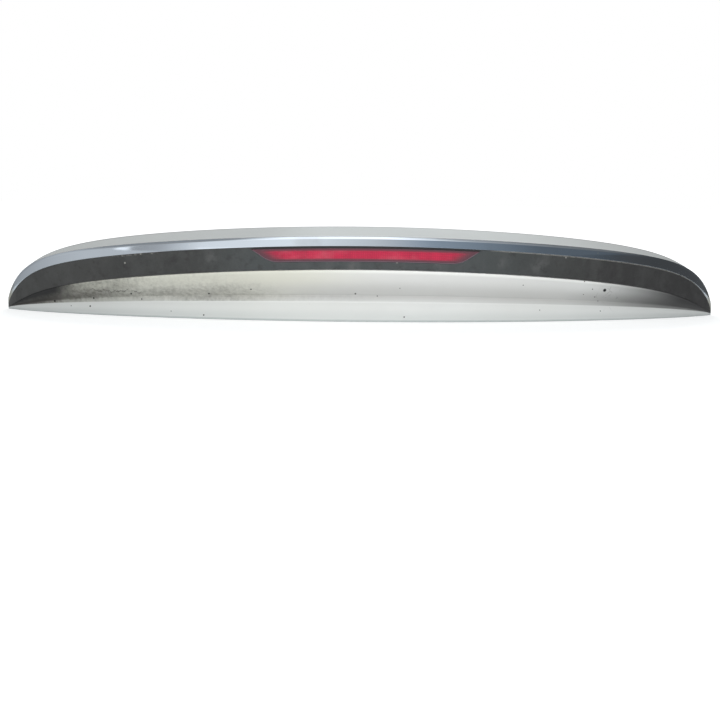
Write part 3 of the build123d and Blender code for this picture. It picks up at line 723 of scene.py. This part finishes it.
def makeLensFinish():
    # prism cells in x and down, brighter blocks and bays along x under a patchy veil of dust, a field of
    # red that fades to smoke towards its edges, and a thin pale rim
    d = SimpleNamespace(**lens)
    m = startMaterial("lensRed", Roughness=0.3, Coat_Weight=0.6, Coat_Roughness=0.04, Specular_IOR_Level=0.0)
    t = m.tree
    down, toEnd, toRim = (attribute(t, name) for name in ("lensDown", "lensToEnd", "lensToRim"))
    cellX = calc(t, "PINGPONG", calc(t, "DIVIDE", m.x, d.prism * mm), 0.5)
    cellZ = calc(t, "PINGPONG", calc(t, "DIVIDE", down, d.prism), 0.5)
    cell = times(t, fade(t, cellX, 0.0, 0.35), fade(t, cellZ, 0.0, 0.35))
    block = fade(t, cloud(t, stretched(t, m.place, 1.0, 0.0, 0.0), 30.0, 3.0, 0.6), 0.35, 0.7)
    bay = calc(t, "SNAP", m.x, d.bay * mm)
    step = addNode(t, "ShaderNodeTexWhiteNoise", {"W": bay}, noise_dimensions="1D").outputs["Value"]
    light = calc(t, "ADD", times(t, cell, d.cellShare), times(t, block, d.blockShare))
    light = calc(t, "ADD", light, times(t, step, d.bayShare))
    colour = tint(t, light, d.deep, d.red)
    veil = fade(t, cloud(t, stretched(t, m.place, 1.0, 0.0, 2.0), 13.0, 4.0, 0.6), 0.44, 0.66)
    colour = tint(t, times(t, veil, d.veilShare), colour, d.veil)
    core = times(t, fade(t, down, *d.topFade), fade(t, down, *d.lowFade), fade(t, toEnd, *d.endFade))
    colour = tint(t, core, d.smoke, colour)
    # painted shade along the lens's top edge, under the strip
    colour = tint(t, times(t, fade(t, down, *d.edgeDown), 0.5), colour, d.edgeDark)
    rim = times(t, fade(t, toRim, *d.rimIn), fade(t, down, *d.rimTop))
    colour = tint(t, times(t, rim, 0.95), colour, d.rimPale)
    plug(m, Base_Color=colour, Normal=bumped(t, cell, 0.4, 0.0005))
    return m.material


lensRed = makeLensFinish()


def makeLens():
    # rows down the band, each as wide as the slanted outline there, with a second sheet behind it
    d = SimpleNamespace(**lens)
    share = np.sin(0.5 * math.pi * np.linspace(0, 1, d.rows))
    down = lamp["drop"] + lamp["tall"] * share
    half = lampHalf(down)
    x = half[:, None] * np.sin(np.linspace(-0.5 * math.pi, 0.5 * math.pi, d.columns))
    downs = np.repeat(down[:, None], d.columns, 1)
    front, behind = onBand(x, downs, 0.0), onBand(x, downs, lamp["thick"] / crescent["trimWall"])
    points = np.concatenate([front.reshape(-1, 3), behind.reshape(-1, 3)])
    count = d.rows * d.columns
    faces = gridFaces(d.rows, d.columns)[:, ::-1]
    border = np.concatenate([
        np.arange(d.columns - 1),
        np.arange(d.rows - 1) * d.columns + d.columns - 1,
        np.arange(count - 1, count - d.columns, -1),
        np.arange(count - d.columns, 0, -d.columns),
    ])
    ahead = np.roll(border, -1)
    wall = np.stack([border, ahead, ahead + count, border + count], -1)
    allFaces = np.concatenate([faces, faces[:, ::-1] + count, wall])
    # the shortest way to the rim, over close points along one side and the bottom
    rimDown = lamp["drop"] + lamp["tall"] * np.sin(0.5 * math.pi * np.linspace(0, 1, d.rimPoints))
    rimX = lampHalf(rimDown)
    flatX = np.linspace(0, rimX[-1], d.flatPoints)
    rimX, rimDown = np.append(rimX, flatX), np.append(rimDown, np.full(d.flatPoints, rimDown[-1]))
    toRim = np.hypot(np.abs(x)[..., None] - rimX, downs[..., None] - rimDown).min(-1)
    toEnd = half[:, None] - np.abs(x)
    shares = dict(lensDown=downs - lamp["drop"], lensToEnd=toEnd, lensToRim=toRim)
    values = {name: np.tile(value.ravel(), 2) for name, value in shares.items()}
    return makePiece("lampLens", points, allFaces, lensRed, ["lamp_lens"], values=values)


makeLens()
print("lens made")

# pads, pins, bosses and gussets under the floor; a pad's edge as (inset, height) and a pin's nose as
# (inset, rise)
fittings = dict(
    padRadius=16.0, padEdge=[(1.0, 0.01), (0.3, 0.3), (0.0, 1.0)],
    pinRadius=4.0, pinLong=14.0, pinNose=(1.2, 1.6), pinPad=9.0,
    bossRadius=7.0, bossFace=0.5, edge=0.6, collarRadius=16.0,
    studs=[(-180, 0), (180, 0), (-430, 38), (430, 38)], pins=[(-310, 22), (310, 22)],
    screws=[(-500, 44), (-250, 44), (-90, 44), (90, 44), (250, 44), (500, 44)], grommet=(75, -14),
    gussets=[-440, -340, -240, -140, -40, 40, 140, 240, 340, 440],
    gussetThick=2.0, gussetReach=34.0, gussetDrop=0.7, gussetLap=1.5,
)


def floorLine(x, y, upper):
    # height of the floor's underside or upper side at y, straight from the riser to the front
    s = levels(np.array([float(x)]))
    backY, frontY = s.recessY + s.foot, s.frontY - s.skin - s.gap
    under = s.shelfZ + crescent["floorShare"] * (s.riserZ - s.shelfZ)
    backZ = s.riserZ + crescent["floorLift"] * s.thin if upper else under
    frontZ = s.seamZ + s.skin if upper else s.seamZ
    return (backZ + (frontZ - backZ) * (y - backY) / (frontY - backY)).item()


def turned(centre, profile, around=48):
    # a profile of (radius, z) turned about a vertical line through centre
    radius, z = np.array(profile, float).T
    angle = np.linspace(0, 2 * math.pi, around, endpoint=False)
    x = centre[0] + radius[:, None] * np.cos(angle)
    y = centre[1] + radius[:, None] * np.sin(angle)
    points = np.stack([x, y, np.repeat(z[:, None], around, 1)], -1)
    return points.reshape(-1, 3), gridFaces(len(z), around, closed=True)


def gusset(d, x):
    # a flat four-cornered rib from the floor down the inside of the foot, with its thickness along x
    s = levels(np.array([float(x)]))
    heelY = (s.recessY + 0.5 * s.foot).item()
    toeY = heelY + d.gussetReach
    heel = np.array([heelY, floorLine(x, heelY, False) + d.gussetLap])
    toe = np.array([toeY, floorLine(x, toeY, False) + d.gussetLap])
    knee = np.array([heelY, s.shelfZ.item()])
    foot = np.array([(s.footY + 0.5 * s.foot).item(), s.footZ.item()])
    end = knee + (foot - knee) * d.gussetDrop
    corners = np.array([heel, toe, end, knee])[:, None].repeat(2, 1)
    points, faces = carried(np.array([x - 0.5 * d.gussetThick, x + 0.5 * d.gussetThick]), corners)
    caps = np.array([[3, 2, 1, 0], [4, 5, 6, 7]])
    return points, np.concatenate([faces, caps])


def makeFittings():
    # profiles turned at each fixing, and the gussets between the foot and the floor
    d = SimpleNamespace(**fittings)
    parts = []
    for x, y in d.studs:
        top, r = floorLine(x, y + d.padRadius, True), d.padRadius
        edge = [(r - inset, z) for inset, z in d.padEdge]
        parts.append(turned((x, y), [(0, edge[0][1])] + edge + [(r, top), (0, top)]))
    inset, rise = d.pinNose
    for x, y in d.pins:
        top, r, p = floorLine(x, y + d.pinPad, True), d.pinPad, d.pinRadius
        tip = [(0, -d.pinLong), (p - inset, -d.pinLong), (p, rise - d.pinLong), (p, 0)]
        parts.append(turned((x, y), tip + [(r - d.edge, 0), (r, d.edge), (r, top), (0, top)]))
    for x, y in d.screws:
        low = floorLine(x, y - d.bossRadius, False) - d.bossFace
        top, r = floorLine(x, y + d.bossRadius, True) + d.bossFace, d.bossRadius
        parts.append(turned((x, y), [(0, low), (r - d.edge, low), (r, low + d.edge), (r, top), (0, top)]))
    x, y = d.grommet
    r = d.collarRadius
    low, top = floorLine(x, y - r, False), floorLine(x, y + r, True)
    parts.append(turned((x, y), [(0, low), (r, low), (r, top), (0, top)]))
    parts += [gusset(d, x) for x in d.gussets]
    points, faces = joined(parts)
    return makePiece("floorFittings", points, faces, bodyPaint)


makeFittings()
print("floor fittings made")

# pieces that keep the frame's own shape: two tones, cloud scale, roughness, bump and metal
plainFinishes = dict(
    bond_tape=((0.05, 0.05, 0.055, 1), (0.11, 0.11, 0.115, 1), 300.0, 0.8, 0.3, 0.0),
    optic_red=((0.45, 0.02, 0.03, 1), (0.62, 0.05, 0.06, 1), 380.0, 0.2, 0.4, 0.0),
    led_face=((0.78, 0.72, 0.42, 1), (0.88, 0.84, 0.62, 1), 700.0, 0.25, 0.1, 0.0),
    lamp_board=((0.02, 0.10, 0.045, 1), (0.05, 0.19, 0.08, 1), 160.0, 0.35, 0.2, 0.0),
    lamp_body=((0.022, 0.022, 0.024, 1), (0.045, 0.045, 0.047, 1), 800.0, 0.5, 0.25, 0.0),
    soft_foam=((0.028, 0.028, 0.030, 1), (0.075, 0.075, 0.078, 1), 1100.0, 0.95, 0.8, 0.0),
    screw_steel=((0.50, 0.48, 0.43, 1), (0.66, 0.62, 0.52, 1), 240.0, 0.34, 0.1, 1.0),
    stud_steel=((0.48, 0.48, 0.49, 1), (0.62, 0.62, 0.63, 1), 300.0, 0.32, 0.1, 1.0),
    grommet_rubber=((0.018, 0.018, 0.019, 1), (0.04, 0.04, 0.04, 1), 500.0, 0.7, 0.3, 0.0),
)


def makePlainFinish(slot, base, other, scale, rough, bump, metal):
    # two tones in fine clouds, with the same clouds raised as a bump
    m = startMaterial(slot, Metallic=metal)
    t = m.tree
    fine = cloud(t, m.place, scale, 3.0, 0.6)
    slow = cloud(t, m.place, 30.0, 2.0)
    mix = fade(t, calc(t, "ADD", times(t, fine, 0.6), times(t, slow, 0.4)), 0.35, 0.65)
    roughness = calc(t, "ADD", rough - 0.05, times(t, slow, 0.1))
    normal = bumped(t, fine, bump, 0.0003)
    plug(m, Base_Color=tint(t, mix, base, other), Roughness=roughness, Normal=normal)
    return m.material


nodeSlots = {subpart["node"]: subpart["material_slot"] for subpart in frame["record"]["subparts"]}
finishes = {slot: makePlainFinish(slot, *finish) for slot, finish in plainFinishes.items()}
keptNodes = [name for name in cadNodes if nodeSlots.get(name) in finishes]
for name in keptNodes:
    node, slot = cadNodes[name], nodeSlots[name]
    node.data.materials.clear()
    node.data.materials.append(finishes[slot])
print("kept nodes finished:", sorted(keptNodes))

# floor and world; the floor's height in millimetres, its other lengths in metres
stage = dict(
    floorZ=-60.5, floorHalf=9.0, floorColour=(0.55, 0.55, 0.55, 1), floorRough=0.9, floorGlow=0.64,
    whiteFar=(0.9, 2.6), worldColour=(0.93, 0.97, 1.0, 1), worldPower=0.45,
)

# screen in metres and degrees: greys by compass turn from the camera's side, left to right, near the horizon
# and higher up, and two bright panes as left, right, bottom, top and grey
surround = dict(
    far=3.0, halfTurn=180.0, tilt=(-12.0, 80.0), rows=25, columns=61, turnover=(22.0, 34.0),
    skirtFar=0.95, skirtTurn=(-172.0, 172.0), skirtZ=(-0.06, 0.10), skirtColumns=91,
    lowGreys=[
        (-112, 0.45), (-92, 0.52), (-83, 0.72), (-78, 0.8), (-71, 0.9), (-58, 0.88), (-53, 0.86), (-48, 0.57),
        (-43, 0.67), (-34, 1.3), (-14, 1.4), (2, 1.0), (16, 0.52), (40, 0.21), (52, 0.2), (58, 0.175),
        (66, 0.12), (76, 0.095), (84, 0.1), (112, 0.2),
    ],
    highGreys=[(-112, 0.4), (-40, 0.5), (-26, 2.0), (12, 2.2), (22, 1.5), (34, 0.7), (60, 0.3), (112, 0.2)],
    pale=(0.3, 0.3, 0.3, 1), paleTurn=(118, 142), paleTilt=(2.2, 4.0),
    coolTint=(0.87, 1.0, 1.13, 1), coolTurn=(4, 18, 60, 72),
    panes=[(-53.4, -50.0, 2.4, 10.5, 1.7), (-34.4, -20.1, 3.5, 8.0, 1.75)], turnSoft=0.4, tiltSoft=0.6,
)


def lightPaths(tree):
    # 1 for rays from the camera, in gloss or through glass
    path = addNode(tree, "ShaderNodeLightPath").outputs
    seen = calc(tree, "MAXIMUM", path["Is Camera Ray"], path["Is Glossy Ray"])
    return calc(tree, "MAXIMUM", seen, path["Is Transmission Ray"])


def makeFloor():
    # a flat sheet whose white glow is seen but gives no light, stronger far off, over a pale grey that
    # takes the shadow
    d = SimpleNamespace(**stage)
    half, z = d.floorHalf, d.floorZ * mm
    corners = [(-half, -half, z), (half, -half, z), (half, half, z), (-half, half, z)]
    mesh = bpy.data.meshes.new("floor")
    mesh.from_pydata(corners, [], [(0, 1, 2, 3)])
    floor = bpy.data.objects.new("floor", mesh)
    bpy.context.scene.collection.objects.link(floor)
    m = startMaterial("floorPale", Base_Color=d.floorColour, Roughness=d.floorRough, Specular_IOR_Level=0.0)
    t = m.tree
    far = addNode(t, "ShaderNodeVectorMath", {0: m.place}, operation="LENGTH").outputs["Value"]
    rest = times(t, fade(t, far, *d.whiteFar), 1.0 - d.floorGlow)
    share = times(t, lightPaths(t), calc(t, "ADD", rest, d.floorGlow))
    glow = addNode(t, "ShaderNodeEmission", {"Color": (1, 1, 1, 1), "Strength": share}).outputs[0]
    mixed = addNode(t, "ShaderNodeAddShader", {0: m.shader.outputs[0], 1: glow}).outputs[0]
    t.links.new(mixed, t.nodes["Material Output"].inputs["Surface"])
    mesh.materials.append(m.material)


def screenShape(d):
    # a band of a sphere, p = far * (cos tilt * sin turn, -cos tilt * cos turn, sin tilt), and a low
    # upright skirt inside it
    turn = np.radians(np.linspace(-d.halfTurn, d.halfTurn, d.columns))
    tilt = np.radians(np.linspace(*d.tilt, d.rows))[:, None]
    ball = np.broadcast_arrays(np.cos(tilt) * np.sin(turn), -np.cos(tilt) * np.cos(turn), np.sin(tilt))
    around = np.radians(np.linspace(*d.skirtTurn, d.skirtColumns))
    ring = d.skirtFar * np.stack([np.sin(around), -np.cos(around), 0 * around], -1)
    skirt = [ring + np.array([0, 0, z]) for z in d.skirtZ]
    return joined([
        (d.far * np.stack(ball, -1).reshape(-1, 3), gridFaces(d.rows, d.columns)),
        (np.concatenate(skirt), gridFaces(len(skirt), d.skirtColumns)),
    ])


def greyRow(tree, share, stops, halfTurn):
    # a ramp through greys at their turns, from -halfTurn at 0 to halfTurn at 1
    ramp = addNode(tree, "ShaderNodeValToRGB", {"Fac": share})
    elements = ramp.color_ramp.elements
    for n, (angle, grey) in enumerate(stops):
        position = (angle + halfTurn) / (2 * halfTurn)
        inner = 0 < n < len(stops) - 1
        stop = elements.new(position) if inner else elements[0 if n == 0 else -1]
        stop.position = position
        stop.color = (grey, grey, grey, 1)
    return ramp.outputs["Color"]


def softSpan(low, high, soft):
    # the four limits of a span whose two ends are soft by so much either way
    return low - soft, low + soft, high - soft, high + soft


def makeScreen():
    # seen only in gloss: one row of greys by its turn near the horizon and another higher up, blended by
    # its tilt, with two bright panes added and an even grey far round behind the part
    d = SimpleNamespace(**surround)
    points, faces = screenShape(d)
    mesh = bpy.data.meshes.new("screen")
    mesh.from_pydata(points.tolist(), [], faces.tolist())
    screen = bpy.data.objects.new("screen", mesh)
    bpy.context.scene.collection.objects.link(screen)
    m = startMaterial("screenGrey")
    t = m.tree
    compass = calc(t, "DEGREES", calc(t, "ARCTAN2", m.x, times(t, m.y, -1.0)))
    tilted = calc(t, "DEGREES", calc(t, "ARCSINE", calc(t, "DIVIDE", m.z, d.far)))
    share = calc(t, "DIVIDE", calc(t, "ADD", compass, d.halfTurn), 2 * d.halfTurn)
    low, high = (greyRow(t, share, stops, d.halfTurn) for stops in (d.lowGreys, d.highGreys))
    cooled = tint(t, within(t, compass, d.coolTurn), low, d.coolTint, "MULTIPLY")
    colour = tint(t, fade(t, tilted, *d.turnover), cooled, high)
    for left, right, bottom, top, grey in d.panes:
        wide = within(t, compass, softSpan(left, right, d.turnSoft))
        tall = within(t, tilted, softSpan(bottom, top, d.tiltSoft))
        colour = tint(t, times(t, wide, tall), colour, (grey, grey, grey, 1))
    farRound = fade(t, calc(t, "ABSOLUTE", compass), *d.paleTurn)
    colour = tint(t, times(t, farRound, fade(t, tilted, *d.paleTilt)), colour, d.pale)
    glow = addNode(t, "ShaderNodeEmission", {"Color": colour, "Strength": 1.0}).outputs[0]
    t.links.new(glow, t.nodes["Material Output"].inputs["Surface"])
    mesh.materials.append(m.material)
    for ray in ("camera", "diffuse", "shadow", "transmission", "volume_scatter"):
        setattr(screen, "visible_" + ray, False)


# area lamps: place, aim and size in metres, power in watts and colour
studioLamps = dict(
    skyLamp=((0.0, -0.2, 2.2), (0, 0, 0), (2.0, 1.4), 5.0, (0.93, 0.99, 1.0)),
    windowLamp=((-0.2, -1.4, 1.1), (0, 0, 0), (0.9, 0.6), 5.0, (0.90, 1.0, 0.98)),
    frontLamp=((0.0, 1.6, 1.3), (0, 0, 0), (1.6, 0.8), 28.0, (0.95, 0.99, 1.0)),
    bounceLamp=((0.06, -1.0, -0.02), (0.06, -0.05, 0), (0.8, 0.05), 5.0, (1.0, 0.98, 0.965)),
)


def makeLamp(name, place, aim, size, power, colour):
    # an oblong light that looks from place to aim and isn't mirrored in the part
    light = bpy.data.lights.new(name, "AREA")
    light.shape = "RECTANGLE"
    light.size, light.size_y = size
    light.energy = power
    light.color = colour
    lampObject = bpy.data.objects.new(name, light)
    bpy.context.scene.collection.objects.link(lampObject)
    lampObject.location = place
    lampObject.rotation_euler = (Vector(aim) - Vector(place)).to_track_quat("-Z", "Y").to_euler()
    lampObject.visible_glossy = False
    lampObject.visible_camera = False


def makeWorld():
    # an even soft light on the part, and plain white wherever the world itself is seen
    world = bpy.data.worlds.new("studio")
    bpy.context.scene.world = world
    world.use_nodes = True
    t = world.node_tree
    soft = t.nodes["Background"]
    soft.inputs["Color"].default_value = stage["worldColour"]
    soft.inputs["Strength"].default_value = stage["worldPower"]
    white = addNode(t, "ShaderNodeBackground", {"Color": (1, 1, 1, 1), "Strength": 1.0}).outputs[0]
    inputs = {0: lightPaths(t), 1: soft.outputs[0], 2: white}
    shown = addNode(t, "ShaderNodeMixShader", inputs).outputs[0]
    t.links.new(shown, t.nodes["World Output"].inputs["Surface"])


makeFloor()
makeScreen()
for lampName, settings in studioLamps.items():
    makeLamp(lampName, *settings)
makeWorld()
print("stage lit")

# camera from behind and a little above and to the left, aimed below the part as in the photograph
eye = dict(
    place=(-0.06387, -2.2267, 0.18312), aim=(-0.00308, 0.05033, -0.14899), roll=0.691,
    lens=62.217, sensor=36.0,
)


def makeCamera():
    # looks from place to aim with z upwards, then rolls about that line
    data = bpy.data.cameras.new("eye")
    data.lens = eye["lens"]
    data.sensor_width = eye["sensor"]
    camera = bpy.data.objects.new("eye", data)
    bpy.context.scene.collection.objects.link(camera)
    look = (Vector(eye["aim"]) - Vector(eye["place"])).to_track_quat("-Z", "Y").to_matrix().to_4x4()
    roll = Matrix.Rotation(math.radians(eye["roll"]), 4, "Z")
    camera.matrix_world = Matrix.Translation(eye["place"]) @ look @ roll
    bpy.context.scene.camera = camera


makeCamera()
bpy.context.scene.view_settings.view_transform = "Standard"
